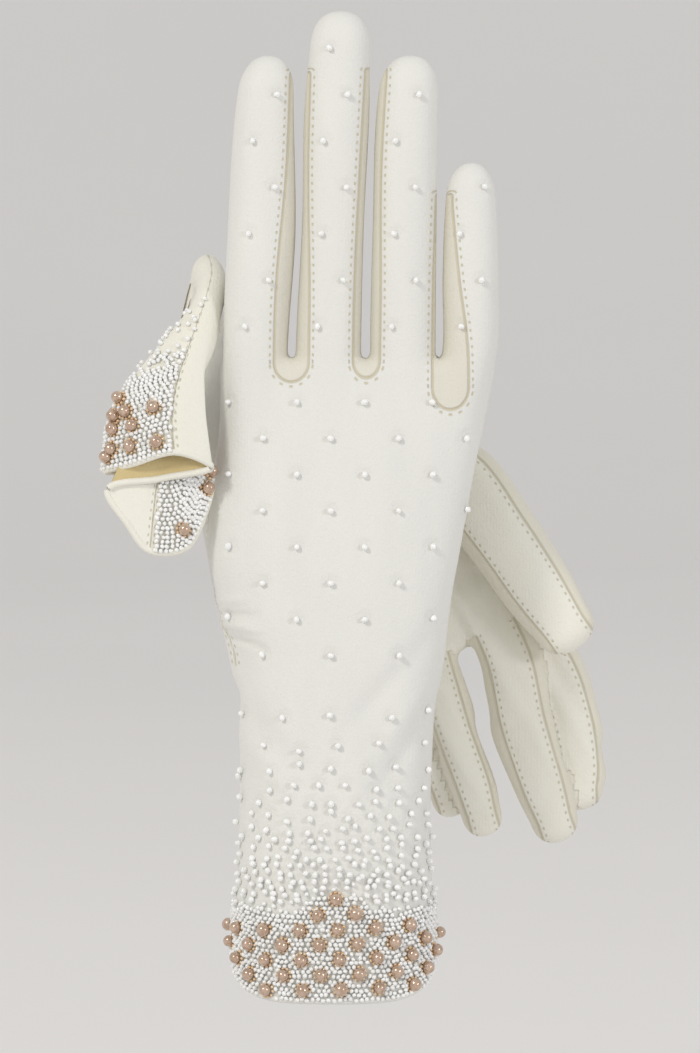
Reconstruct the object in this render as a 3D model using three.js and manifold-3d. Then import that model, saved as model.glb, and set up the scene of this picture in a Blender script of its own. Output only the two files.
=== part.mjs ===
// A pair of beaded evening gloves, in millimetres, +Z up, +X to the right, backs of the hands towards -Y.
// The right glove stands as it does on a raised hand: fingers up, palm towards +Y, thumb to the left.
// The left glove is hung over the right one's thumb: its cuff falls in front, its hand and fingers behind.
// Origin: middle of the right glove's cuff opening, level with the lowest point of its hem.
import * as THREE from "three";
import { mergeVertices } from "three/addons/utils/BufferGeometryUtils.js";
import Module from "manifold-3d";

const wasm = await Module();
wasm.setup();

// ---- Driving dimensions -------------------------------------------------------------------------
const cloth = 1.0; // thickness of the doubled jersey
const seamGap = 0.3; // clearance between two cut pieces that are sewn edge to edge
const gloveLength = 266.8; // hem to tip of the middle finger
const knuckleHeight = 158; // hem to the line where the fingers leave the hand
const cuffHalfWidth = 27.3;
const wristHalfWidth = 26.2;
const palmHalfWidth = 34.6;
const knuckleHalfWidth = 36.3;
const cuffHalfDepth = 21;
const wristHalfDepth = 19;
const palmHalfDepth = 16.2;
const knuckleHalfDepth = 13;
const hemRise = 15; // how much higher the hem is at the sides and palm than at the back of the wrist
const fourchetteHalfAngle = 48; // degrees of a finger's section that a fourchette covers, each way
const bandHeight = 26; // solid beadwork above the hem
const bandThickness = 1.3; // seed beads stitched side by side
const facingThickness = 0.7;
const pearlRadius = 1.9;
const threadRadius = 0.45;
const chevronRows = 3; // chains of pearls, one above another
const pearlsEachSide = 4; // pearls each side of a chevron's point
const pearlAngle = 15; // degrees round the cuff from pearl to pearl
const chevronPitch = 7.5; // height from chain to chain
const chevronDrop = 1.7; // fall from pearl to pearl
const tipDome = 8.5; // length of a fingertip's rounded end
const thumbDrop = 58; // from the knuckles down to the thumb's root
const thumbBend = 0.5; // share of the worn thumb's rows that lie below its bend

// ---- Colours ------------------------------------------------------------------------------------
const ivoryCloth = new THREE.MeshStandardMaterial({ color: 0xefeee6, roughness: 0.85, metalness: 0 });
const creamCloth = new THREE.MeshStandardMaterial({ color: 0xe9e3cd, roughness: 0.88, metalness: 0 });
const facingCloth = new THREE.MeshStandardMaterial({ color: 0xd9cba6, roughness: 0.9, metalness: 0 });
const seedBeads = new THREE.MeshStandardMaterial({ color: 0xf2efe8, roughness: 0.35, metalness: 0 });
const bronzePearl = new THREE.MeshStandardMaterial({ color: 0xb98d72, roughness: 0.25, metalness: 0.35 });

// ---- Small helpers ------------------------------------------------------------------------------
const radians = THREE.MathUtils.degToRad;
const mix = THREE.MathUtils.lerp;
const ease = (x) => THREE.MathUtils.smoothstep(x, 0, 1);
const vec = (x, y, z) => new THREE.Vector3(x, y, z);

// A round-cornered section: squareness 2 is an ellipse, and more is nearer to a rectangle.
function sectionPoint(angle, halfWidth, halfDepth, squareness) {
  const c = Math.cos(angle);
  const s = Math.sin(angle);
  const power = 2 / squareness;
  return [halfWidth * Math.sign(c) * Math.abs(c) ** power, halfDepth * Math.sign(s) * Math.abs(s) ** power];
}

// One cut piece of cloth: part of a tube's wall, from edge0 to edge1 round it and start to end along it.
function clothPiece(tube, edge0, edge1, options = {}) {
  const { start = 0, end = 1, round = 6, along = 8, outer = 0, inner = cloth } = options;
  const positions = [];
  for (const inset of [outer, inner])
    for (let j = 0; j <= along; j++) {
      const t = mix(start, end, j / along);
      for (let i = 0; i <= round; i++) {
        const angle = radians(mix(edge0(t), edge1(t), i / round));
        positions.push(...tube.at(angle, t, inset).toArray());
      }
    }
  const layer = (round + 1) * (along + 1);
  const id = (i, j, side) => side * layer + j * (round + 1) + i;
  const faces = [];
  const quad = (a, b, c, d) => faces.push(a, b, c, a, c, d);
  for (let j = 0; j < along; j++)
    for (let i = 0; i < round; i++) {
      quad(id(i, j, 0), id(i + 1, j, 0), id(i + 1, j + 1, 0), id(i, j + 1, 0));
      quad(id(i, j, 1), id(i, j + 1, 1), id(i + 1, j + 1, 1), id(i + 1, j, 1));
    }
  for (let i = 0; i < round; i++) {
    quad(id(i, 0, 0), id(i, 0, 1), id(i + 1, 0, 1), id(i + 1, 0, 0));
    quad(id(i, along, 0), id(i + 1, along, 0), id(i + 1, along, 1), id(i, along, 1));
  }
  for (let j = 0; j < along; j++) {
    quad(id(0, j, 0), id(0, j + 1, 0), id(0, j + 1, 1), id(0, j, 1));
    quad(id(round, j, 0), id(round, j, 1), id(round, j + 1, 1), id(round, j + 1, 0));
  }
  const geometry = new THREE.BufferGeometry();
  geometry.setAttribute("position", new THREE.Float32BufferAttribute(positions, 3));
  geometry.setIndex(faces);
  return geometry;
}

// A solid filling a tube out to an outset, used only as a cutter.
function tubeFill(tube, outset, start, end, round, along) {
  const positions = [];
  for (let j = 0; j <= along; j++)
    for (let i = 0; i < round; i++)
      positions.push(...tube.at((2 * Math.PI * i) / round, mix(start, end, j / along), -outset).toArray());
  const faces = [];
  for (let j = 0; j < along; j++)
    for (let i = 0; i < round; i++) {
      const k = (i + 1) % round;
      const [a, b, c, d] = [j * round + i, j * round + k, (j + 1) * round + k, (j + 1) * round + i];
      faces.push(a, b, c, a, c, d);
    }
  for (let i = 1; i < round - 1; i++) {
    faces.push(0, i + 1, i);
    faces.push(along * round, along * round + i, along * round + i + 1);
  }
  const geometry = new THREE.BufferGeometry();
  geometry.setAttribute("position", new THREE.Float32BufferAttribute(positions, 3));
  geometry.setIndex(faces);
  return geometry;
}

function toSolid(geometry) {
  const bare = new THREE.BufferGeometry();
  bare.setAttribute("position", geometry.getAttribute("position"));
  bare.setIndex(geometry.index);
  const merged = mergeVertices(bare, 1e-4);
  return new wasm.Manifold(
    new wasm.Mesh({
      numProp: 3,
      vertProperties: merged.attributes.position.array,
      triVerts: new Uint32Array(merged.index.array),
    }),
  );
}

function toGeometry(solid) {
  const mesh = solid.getMesh();
  const geometry = new THREE.BufferGeometry();
  geometry.setAttribute("position", new THREE.BufferAttribute(new Float32Array(mesh.vertProperties), 3));
  geometry.setIndex(new THREE.BufferAttribute(new Uint32Array(mesh.triVerts), 1));
  return geometry;
}

// ---- Tubes --------------------------------------------------------------------------------------
// A hand's tube is lofted through stations, each with its centre, its width direction and half sizes.
// A level tube keeps its sections horizontal, and its hem can be lifted round the section.
function handTube(stations, squareness, level = false, hemLift = () => 0) {
  const centres = new THREE.CatmullRomCurve3(stations.map((s) => s.centre), false, "catmullrom", 0.5);
  const sizes = new THREE.CatmullRomCurve3(
    stations.map((s) => vec(s.halfWidth, s.halfDepth, 0)), false, "catmullrom", 0.5,
  );
  const widths = new THREE.CatmullRomCurve3(stations.map((s) => s.across), false, "catmullrom", 0.5);
  return {
    at(angle, t, inset = 0) {
      const tangent = level ? vec(0, 0, 1) : centres.getTangent(t);
      const across = widths.getPoint(t);
      across.addScaledVector(tangent, -across.dot(tangent)).normalize();
      const deep = tangent.clone().cross(across);
      const size = sizes.getPoint(t);
      const [w, d] = sectionPoint(angle, size.x - inset, size.y - inset, squareness);
      const point = centres.getPoint(t).addScaledVector(across, w).addScaledVector(deep, d);
      return point.addScaledVector(tangent, hemLift(angle, t));
    },
  };
}

// A finger's tube: root, direction, length, a sideways curl, and half sizes at root, middle and end.
function fingerTube(finger) {
  const { root, along, across, length, curl, halfWidth, halfDepth } = finger;
  const axis = along.clone().normalize();
  const side = across.clone().addScaledVector(axis, -across.dot(axis)).normalize();
  const deep = axis.clone().cross(side);
  const domeStart = 0.74; // share of the rows that lie below the rounded end
  const sizeAt = (sizes, share) =>
    share < 0.3 ? mix(sizes[0], sizes[1], ease(share / 0.3)) : mix(sizes[1], sizes[2], (share - 0.3) / 0.7);
  return {
    at(angle, t, inset = 0) {
      const straight = length - tipDome;
      let height = (straight * t) / domeStart;
      let shrink = 1;
      if (t > domeStart) {
        const turn = radians(mix(0, 85, (t - domeStart) / (1 - domeStart)));
        height = straight + (tipDome - inset) * Math.sin(turn);
        shrink = Math.cos(turn);
      }
      const share = Math.min(1, height / length);
      const squareness = mix(3.4, 2.15, ease(share / 0.35));
      const [w, d] = sectionPoint(
        angle,
        (sizeAt(halfWidth, share) - inset) * shrink,
        (sizeAt(halfDepth, share) - inset) * shrink,
        squareness,
      );
      return root
        .clone()
        .addScaledVector(axis, height)
        .addScaledVector(curl, share * share)
        .addScaledVector(side, w)
        .addScaledVector(deep, d);
    },
  };
}

// Joins two half pieces that are mirror images along a tube: the edges of a fourchette narrow to its point.
const pointShare = 0.8; // where a fourchette ends in its point
const halfAngleAt = (t) => fourchetteHalfAngle * (1 - ease((t - 0.3) / (pointShare - 0.3)) * 0.93);
const neighbourAt = (t) => (t < pointShare ? halfAngleAt(t) : fourchetteHalfAngle * 0.07);
const gapAngle = 2.2; // degrees, about seamGap on a finger's section

// The cut pieces of one finger, by name: where its fourchettes lie decides how the trank wraps it.
function fingerPieces(prefix, finger) {
  const tube = fingerTube(finger);
  const { sides, turn = 0, stripName, start = 0 } = finger;
  const pieces = {};
  const strip = (name, middle) => {
    pieces[`${prefix}_${name}`] = clothPiece(
      tube,
      (t) => middle + turn - halfAngleAt(t),
      (t) => middle + turn + halfAngleAt(t),
      { start, end: pointShare, round: 2, along: 6 },
    );
  };
  const between = (name, from, to, round) => {
    pieces[`${prefix}_${name}`] = clothPiece(
      tube,
      (t) => from + turn + neighbourAt(t) + gapAngle,
      (t) => to + turn - neighbourAt(t) - gapAngle,
      { start, round, along: 8 },
    );
  };
  if (sides.includes("right")) strip(stripName ?? "fourchette_right", 0);
  if (sides.includes("left")) strip(stripName ?? "fourchette_left", 180);
  if (sides.length === 2) {
    between("palm_strip", 0, 180, 4);
    between("back_strip", 180, 360, 4);
  } else if (sides[0] === "right") between("wrap_strip", 0, 360, 8);
  else between("wrap_strip", -180, 180, 8);
  return pieces;
}

// ---- The right glove, on the hand ---------------------------------------------------------------
const upright = (height, centreX, halfWidth, halfDepth) => ({
  centre: vec(centreX, 0, height),
  across: vec(1, 0, 0),
  halfWidth,
  halfDepth,
});
const rightHand = [
  upright(0, 0.8, cuffHalfWidth, cuffHalfDepth),
  upright(bandHeight, 1.0, cuffHalfWidth - 0.4, cuffHalfDepth - 0.8),
  upright(knuckleHeight * 0.34, 1.4, wristHalfWidth, wristHalfDepth + 0.4),
  upright(knuckleHeight * 0.51, 2.2, wristHalfWidth + 0.7, wristHalfDepth),
  upright(knuckleHeight * 0.62, 2.4, wristHalfWidth + 4, wristHalfDepth - 1),
  upright(knuckleHeight * 0.76, 1.2, palmHalfWidth, palmHalfDepth),
  upright(knuckleHeight * 0.88, 3.4, palmHalfWidth + 0.6, palmHalfDepth - 1),
  upright(knuckleHeight, 6.3, knuckleHalfWidth, knuckleHalfDepth),
];
const hemLift = (angle, t) => hemRise * (1 - Math.max(0, -Math.sin(angle))) ** 2 * (1 - t) ** 6;
const rightTube = handTube(rightHand, 2.3, true, hemLift);

const rightFinger = (x, leanX, length, halfWidth, halfDepth, sides, turn = 0) => ({
  root: vec(x, 0, knuckleHeight + seamGap),
  along: vec(leanX, 0, length),
  across: vec(1, 0, 0),
  curl: vec(0, 0, 0),
  length,
  halfWidth,
  halfDepth,
  sides,
  turn,
});
const middleLength = gloveLength - knuckleHeight - seamGap;
const rightFingers = {
  right_index: rightFinger(-19.9, 2.6, middleLength - 12.2, [9.2, 9.0, 7.6], [12.2, 9, 7.2], ["right"]),
  right_middle: rightFinger(0.4, 1.6, middleLength, [9.5, 9, 8.2], [12.6, 9.2, 7.4], ["left", "right"]),
  right_ring: rightFinger(20.4, 0.5, middleLength - 12.2, [8.9, 8.7, 7.6], [12.2, 9, 7.2],
    ["left", "right"]),
  right_little: rightFinger(36.7, 1.2, middleLength - 41, [6.4, 6.9, 6.0], [10.8, 7.6, 6.4], ["left"], 35),
};
const hangX = -1.12 * palmHalfWidth + 0.152; // where the left glove passes over the thumb's tip
const hangZ = knuckleHeight - thumbDrop + 91;
const rightThumb = {
  root: vec(hangX + 18.6, 6, knuckleHeight - thumbDrop),
  along: vec(-17.5, 17, 84),
  across: vec(1, 0.3, 0),
  curl: vec(0, 0, 0),
  length: 87,
  halfWidth: [9.5, 9.0, 7.0],
  halfDepth: [10, 8.2, 6.4],
  sides: ["left"],
  stripName: "gusset",
  turn: 90,
  start: thumbBend,
};

// ---- The left glove, hung over the thumb --------------------------------------------------------
const station = (centre, across, halfWidth, halfDepth) => ({ centre, across, halfWidth, halfDepth });
const leftHand = [
  station(vec(hangX - 7.4, -9, hangZ - 60), vec(0.15, -1, 0), 14.5, 14.5),
  station(vec(hangX - 4.4, -5, hangZ - 35), vec(0.6, -0.8, 0.1), 9.5, 11.5),
  station(vec(hangX - 0.9, 4, hangZ - 9), vec(1, 0.1, 0.1), 8.6, 6.5),
  station(vec(hangX, 22, hangZ), vec(1, 0, 0), 8.2, 6),
  station(vec(hangX - 0.2, 40, hangZ - 11), vec(1, 0, 0), 8.4, 6),
  station(vec(hangX + 2.6, 45, hangZ - 37), vec(1, 0, 0.25), 11, 6.5),
  station(vec(hangX + 18.6, 46, hangZ - 60), vec(0.75, 0, 0.66), 19, 7.5),
  station(vec(8, 47, hangZ - 72), vec(0.45, 0, 0.9), 22.5, 8),
  station(vec(31, 47, hangZ - 83), vec(0.75, 0, 0.66), 24.5, 8),
  station(vec(42, 47, hangZ - 100), vec(0.87, 0, 0.5), 25.5, 8),
];
const leftTube = handTube(leftHand, 2.2);
const leftKnuckle = leftHand.at(-1);
const leftSide = leftKnuckle.across.clone().normalize();
const leftFinger = (along, deep, run, curl, halfWidth, halfDepth, sides) => ({
  root: leftKnuckle.centre.clone().addScaledVector(leftSide, along).add(vec(0.5, deep, -1)),
  along: run,
  across: vec(1, 0, 0),
  curl,
  length: run.length(),
  halfWidth,
  halfDepth,
  sides,
});
const leftFingers = {
  left_index: leftFinger(18, 4, vec(15, 12, -56), vec(-2, 3, -1), [5.6, 8.6, 7.4], [4.2, 5.6, 5.2],
    ["left"]),
  left_middle: leftFinger(6, -3, vec(17, -3, -60), vec(-2, -3, -1), [5.6, 8.4, 7.4], [4.6, 5.4, 5.2],
    ["left", "right"]),
  left_ring: leftFinger(-6.5, -2, vec(4.5, 0, -56), vec(0, 0, -1), [5.2, 6.8, 6.6], [4.6, 5.4, 5.2],
    ["left", "right"]),
  left_little: leftFinger(-16.5, 3, vec(5, 15, -43), vec(0, 2, -1), [4.6, 6.4, 5.8], [4, 4.8, 4.6],
    ["right"]),
};
const leftThumb = {
  root: vec(27, 43, hangZ - 44),
  along: vec(44, -15, -57),
  across: vec(1, 0, 0.75),
  curl: vec(0, 0, 0),
  length: 73.5,
  halfWidth: [12, 11, 7.8],
  halfDepth: [6, 6.4, 5.4],
  sides: ["left"],
  stripName: "gusset",
  turn: 0,
};

// ---- Assembly -----------------------------------------------------------------------------------
const gloves = new THREE.Group();
function add(name, geometry, material) {
  const mesh = new THREE.Mesh(geometry, material);
  mesh.name = name;
  gloves.add(mesh);
}

const constant = (value) => () => value;
const seamAngle = 0.55; // degrees, about seamGap on a hand's section
const rightGrid = { round: 14, along: 14 }; // facets round half a hand and along it
const leftGrid = { round: 8, along: 26 };

const rightThumbTube = fingerTube(rightThumb);
const rightHandFill = toSolid(tubeFill(rightTube, seamGap, 0, 1, 2 * rightGrid.round, rightGrid.along));
const thumbHole = toSolid(tubeFill(rightThumbTube, seamGap, 0, 0.6, 16, 8));
const palmPanel = clothPiece(rightTube, constant(seamAngle), constant(180 - seamAngle), rightGrid);
add("right_back_panel",
  clothPiece(rightTube, constant(180 + seamAngle), constant(360 - seamAngle), rightGrid), ivoryCloth);
add("right_palm_panel", toGeometry(toSolid(palmPanel).subtract(thumbHole)), ivoryCloth);

for (const [name, finger] of Object.entries(rightFingers))
  for (const [piece, geometry] of Object.entries(fingerPieces(name, finger)))
    add(piece, geometry, ivoryCloth);
for (const [piece, geometry] of Object.entries(fingerPieces("right_thumb", rightThumb)))
  add(piece, toGeometry(toSolid(geometry).subtract(rightHandFill)), ivoryCloth);
const thumbRoot = clothPiece(rightThumbTube, constant(2 * seamAngle), constant(360 - 2 * seamAngle), {
  end: thumbBend - seamGap / rightThumb.length, round: 16, along: 6,
});
add("right_thumb_root", toGeometry(toSolid(thumbRoot).subtract(rightHandFill)), ivoryCloth);

add("left_back_panel",
  clothPiece(leftTube, constant(180 + seamAngle), constant(360 - seamAngle), leftGrid), creamCloth);
add("left_palm_panel",
  clothPiece(leftTube, constant(seamAngle), constant(180 - seamAngle), leftGrid), creamCloth);
const leftHandFill = toSolid(tubeFill(leftTube, seamGap * 2, 0, 1, 2 * leftGrid.round, leftGrid.along));
for (const [name, finger] of Object.entries({ ...leftFingers, left_thumb: leftThumb }))
  for (const [piece, geometry] of Object.entries(fingerPieces(name, finger)))
    add(piece, toGeometry(toSolid(geometry).subtract(leftHandFill)), creamCloth);

// ---- Cuff: turned-up facing inside, solid beadwork and chevrons of bronze pearls outside the back ----
function pearlChain(tube, bandShare, row) {
  const sunk = -(bandThickness + 2 * seamGap + pearlRadius);
  const places = [];
  for (let i = -pearlsEachSide; i <= pearlsEachSide; i++) {
    const height = Math.max(1.5, bandHeight - 3 - row * chevronPitch - Math.abs(i) * chevronDrop);
    places.push(tube.at(radians(270 + i * pearlAngle), (bandShare * height) / bandHeight, sunk));
  }
  let chain = null;
  places.forEach((place, i) => {
    const pearl = toSolid(new THREE.IcosahedronGeometry(pearlRadius, 0).translate(...place.toArray()));
    chain = chain ? chain.add(pearl) : pearl;
    if (i === 0) return;
    const before = places[i - 1];
    const thread = new THREE.CylinderGeometry(threadRadius, threadRadius, place.distanceTo(before), 5);
    const run = place.clone().sub(before).normalize();
    const turn = new THREE.Quaternion().setFromUnitVectors(vec(0, 1, 0), run);
    thread.applyQuaternion(turn).translate(...place.clone().add(before).multiplyScalar(0.5).toArray());
    chain = chain.add(toSolid(thread));
  });
  return toGeometry(chain);
}

function addCuff(side, tube, grid, facingRows, bandRows) {
  const facingIn = cloth + seamGap;
  add(`${side}_hem_facing`, clothPiece(tube, constant(2 * seamAngle), constant(360 - 2 * seamAngle), {
    end: facingRows / grid.along, round: 2 * grid.round, along: facingRows,
    outer: facingIn, inner: facingIn + facingThickness,
  }), facingCloth);
  add(`${side}_bead_band`, clothPiece(tube, constant(180 + seamAngle), constant(360 - seamAngle), {
    end: bandRows / grid.along, round: grid.round, along: bandRows,
    outer: -(seamGap + bandThickness), inner: -seamGap,
  }), seedBeads);
  for (let row = 0; row < chevronRows; row++)
    add(`${side}_pearl_chain_${row + 1}`, pearlChain(tube, bandRows / grid.along, row), bronzePearl);
}
addCuff("right", rightTube, rightGrid, 1, 2);
addCuff("left", leftTube, leftGrid, 2, 3);

export default gloves;
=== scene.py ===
"""A pair of beaded evening gloves: the right one on a raised hand, the left one hung over its thumb.

The cloth is modelled in millimetres as a distance field and turned to metres when a mesh is made.
The right glove's back faces -Y, its fingers point to +Z and its thumb lies towards -X.
"""
import math

import bpy
import numpy as np
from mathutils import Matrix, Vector
from mathutils.bvhtree import BVHTree


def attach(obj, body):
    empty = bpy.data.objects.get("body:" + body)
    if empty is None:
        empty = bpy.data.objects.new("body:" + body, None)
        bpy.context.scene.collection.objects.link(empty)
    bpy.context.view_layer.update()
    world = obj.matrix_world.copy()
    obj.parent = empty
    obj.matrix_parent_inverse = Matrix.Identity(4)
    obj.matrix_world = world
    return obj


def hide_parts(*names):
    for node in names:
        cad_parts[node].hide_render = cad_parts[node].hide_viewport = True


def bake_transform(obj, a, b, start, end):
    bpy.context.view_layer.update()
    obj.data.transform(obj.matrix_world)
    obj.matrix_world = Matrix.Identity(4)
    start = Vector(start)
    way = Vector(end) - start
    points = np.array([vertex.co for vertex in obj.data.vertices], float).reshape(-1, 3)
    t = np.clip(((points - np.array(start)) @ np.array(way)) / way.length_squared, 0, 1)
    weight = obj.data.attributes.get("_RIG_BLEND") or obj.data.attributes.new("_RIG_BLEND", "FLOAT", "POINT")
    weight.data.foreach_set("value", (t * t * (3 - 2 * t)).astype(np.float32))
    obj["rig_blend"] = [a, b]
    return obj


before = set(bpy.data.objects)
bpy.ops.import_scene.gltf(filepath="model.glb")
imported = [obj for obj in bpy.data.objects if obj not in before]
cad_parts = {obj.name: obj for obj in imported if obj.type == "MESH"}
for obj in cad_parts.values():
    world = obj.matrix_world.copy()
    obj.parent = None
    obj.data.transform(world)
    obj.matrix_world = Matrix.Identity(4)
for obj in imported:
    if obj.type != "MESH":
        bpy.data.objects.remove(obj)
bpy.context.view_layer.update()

MM = 0.001
CLOTH = 0.9  # thickness of the doubled jersey
CELL = 1.1  # size of the mesh's cells on the cloth
SEED = 1.5  # diameter of the seed beads packed on the cuffs
DROP = 1.9  # diameter of the seed beads sewn one by one on the backs
PEARL = 3.3  # diameter of the bronze pearls
FAR = 9.0  # stands for every distance too great to matter
IN_FRONT = -36.0  # Y where the lines start that are followed to the right glove
CUFF_GIRTH = 150  # way round the left cuff
HAND_LABEL = -1  # faces of the right hand, where the fingers count from 0
THUMB_LABEL = 9  # faces of the right thumb


# ---- camera ------------------------------------------------------------------------------------
def look_from(place, target, lens):
    data = bpy.data.cameras.new("camera")
    data.lens = lens
    data.clip_start = 0.05
    data.clip_end = 20
    camera = bpy.data.objects.new("camera", data)
    bpy.context.scene.collection.objects.link(camera)
    camera.location = place
    camera.rotation_euler = (Vector(target) - Vector(place)).to_track_quat("-Z", "Y").to_euler()
    bpy.context.scene.camera = camera
    return camera


AIM = Vector((0.0054, -0.01, 0.1275))
RANGE = 1.6
RISE = math.radians(3.0)
look_from(AIM + RANGE * Vector((0, -math.cos(RISE), math.sin(RISE))), AIM, 36 * RANGE / 0.2845)


# ---- colours and shader nodes ------------------------------------------------------------------
def srgb(code):
    """An sRGB hex colour as linear RGBA."""
    parts = [int(code[i : i + 2], 16) / 255 for i in (1, 3, 5)]
    linear = [c / 12.92 if c <= 0.04045 else ((c + 0.055) / 1.055) ** 2.4 for c in parts]
    return (*linear, 1.0)


def node(tree, kind, inputs=None, **settings):
    """Adds a node with its settings; an input is given a value or another node's output."""
    made = tree.nodes.new(kind)
    for key, value in settings.items():
        setattr(made, key, value)
    for key, value in (inputs or {}).items():
        if isinstance(value, bpy.types.NodeSocket):
            tree.links.new(value, made.inputs[key])
        else:
            made.inputs[key].default_value = value
    return made


def new_material(name):
    material = bpy.data.materials.new(name)
    material.use_nodes = True
    tree = material.node_tree
    tree.nodes.clear()
    shader = node(tree, "ShaderNodeBsdfPrincipled")
    output = node(tree, "ShaderNodeOutputMaterial", {"Surface": shader.outputs[0]})
    output.target = "ALL"
    return material, tree, shader


def jersey(name, light, dark, seam_shade_and_thread_tint):
    """Doubled cotton jersey, brushed: matt, with a fine rib and a soft bloom at its edges; its seams and
    narrow side strips carry painted shade.
    """
    material, tree, shader = new_material(name)
    place = node(tree, "ShaderNodeTexCoord").outputs["Object"]
    in_mm = node(
        tree, "ShaderNodeVectorMath", {0: place, 1: (1000, 1000, 1000)}, operation="MULTIPLY"
    ).outputs[0]
    # uneven dye and press marks, some 20 mm across and longer up the glove
    drawn = node(tree, "ShaderNodeVectorMath", {0: in_mm, 1: (1, 1, 0.3)}, operation="MULTIPLY").outputs[0]
    cloud = node(tree, "ShaderNodeTexNoise", {"Vector": drawn, "Scale": 0.09, "Detail": 3}).outputs["Fac"]
    colour = node(
        tree, "ShaderNodeMix", {0: cloud, 6: srgb(dark), 7: srgb(light)}, data_type="RGBA"
    ).outputs[2]
    # the cloth's ribs are 0.4 mm apart: drawn at 0.9 mm so that they show
    rib = node(
        tree,
        "ShaderNodeTexWave",
        {"Vector": in_mm, "Scale": 0.35, "Distortion": 1.5, "Detail": 1, "Detail Scale": 0.6},
        bands_direction="X",
    ).outputs["Fac"]
    grain = node(tree, "ShaderNodeTexNoise", {"Vector": in_mm, "Scale": 1.6, "Detail": 2}).outputs["Fac"]
    # seams: the distance to the nearest in millimetres, below zero on the narrow side strips,
    # and the way along it
    seam = node(tree, "ShaderNodeAttribute", attribute_name="seam").outputs["Fac"]
    along = node(tree, "ShaderNodeAttribute", attribute_name="along").outputs["Fac"]
    aside = node(tree, "ShaderNodeMath", {0: seam}, operation="ABSOLUTE").outputs[0]
    # painted shade: the narrow side strips, tucked between the fingers, take part of the seam tint
    strip = node(tree, "ShaderNodeMapRange", {0: seam, 1: -0.35, 2: 0.0, 3: 0.36, 4: 0.0}).outputs[0]
    colour = node(
        tree, "ShaderNodeMix", {0: strip, 6: colour, 7: srgb(seam_shade_and_thread_tint)}, data_type="RGBA"
    ).outputs[2]
    groove = node(
        tree, "ShaderNodeMapRange", {0: aside, 1: 0.0, 2: 0.55, 3: 0.0, 4: 1.0},
        interpolation_type="SMOOTHSTEP"
    ).outputs[0]
    # stitches: dots of the seam tint beside each seam, in the colour of the thread
    offset = node(tree, "ShaderNodeMath", {0: seam, 1: 1.15}, operation="SUBTRACT").outputs[0]
    apart = node(tree, "ShaderNodeMath", {0: offset}, operation="ABSOLUTE").outputs[0]
    row = node(tree, "ShaderNodeMapRange", {0: apart, 1: 0.12, 2: 0.34, 3: 1.0, 4: 0.0}).outputs[0]
    beat = node(tree, "ShaderNodeMath", {0: along, 1: 1.1}, operation="PINGPONG").outputs[0]
    prick = node(tree, "ShaderNodeMapRange", {0: beat, 1: 0.2, 2: 0.5, 3: 1.0, 4: 0.0}).outputs[0]
    stitch = node(tree, "ShaderNodeMath", {0: row, 1: prick}, operation="MULTIPLY").outputs[0]
    marked = node(
        tree, "ShaderNodeMix", {0: stitch, 6: colour, 7: srgb(seam_shade_and_thread_tint)}, data_type="RGBA"
    ).outputs[2]
    # painted shade along each seam: the seam tint fills the middle of the groove
    shaded = node(
        tree, "ShaderNodeMix", {0: groove, 6: srgb(seam_shade_and_thread_tint), 7: marked}, data_type="RGBA"
    ).outputs[2]
    tree.links.new(shaded, shader.inputs["Base Color"])
    relief = node(tree, "ShaderNodeMath", {0: rib, 1: 0.10, 2: grain}, operation="MULTIPLY_ADD").outputs[0]
    sunk = node(tree, "ShaderNodeMath", {0: groove, 1: 3.0, 2: relief}, operation="MULTIPLY_ADD").outputs[0]
    pricked = node(tree, "ShaderNodeMath", {0: stitch, 1: -1.6, 2: sunk}, operation="MULTIPLY_ADD").outputs[0]
    # the thread of each sewn bead pulls the cloth in round it
    sewn = node(tree, "ShaderNodeAttribute", attribute_name="sewn").outputs["Fac"]
    drawn_in = node(
        tree, "ShaderNodeMapRange", {0: sewn, 1: 0.4, 2: 3.4, 3: -2.2, 4: 0.0},
        interpolation_type="SMOOTHSTEP"
    ).outputs[0]
    height = node(tree, "ShaderNodeMath", {0: pricked, 1: drawn_in}, operation="ADD").outputs[0]
    bump = node(tree, "ShaderNodeBump", {"Strength": 0.55, "Distance": 0.0003, "Height": height}).outputs[0]
    tree.links.new(bump, shader.inputs["Normal"])
    rough = node(tree, "ShaderNodeMapRange", {0: grain, 3: 0.74, 4: 0.88}).outputs[0]
    tree.links.new(rough, shader.inputs["Roughness"])
    shader.inputs["IOR"].default_value = 1.45
    shader.inputs["Specular IOR Level"].default_value = 0.25
    shader.inputs["Sheen Weight"].default_value = 0.18
    shader.inputs["Sheen Roughness"].default_value = 0.55
    return material


IVORY = jersey("ivory_doubled_jersey", "#eae9e3", "#e0e0dc", "#d3caae")
CREAM = jersey("cream_doubled_jersey", "#f1efe6", "#e8e5d7", "#d3ccb4")
# the inner side of the same jersey, painted golden beige: painted shade inside the glove and painted light
# passing through the cloth
INSIDE_SHADE = jersey("wrong_side_of_the_jersey_in_painted_shade", "#d8c698", "#c7b17c", "#b79d64")


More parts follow.
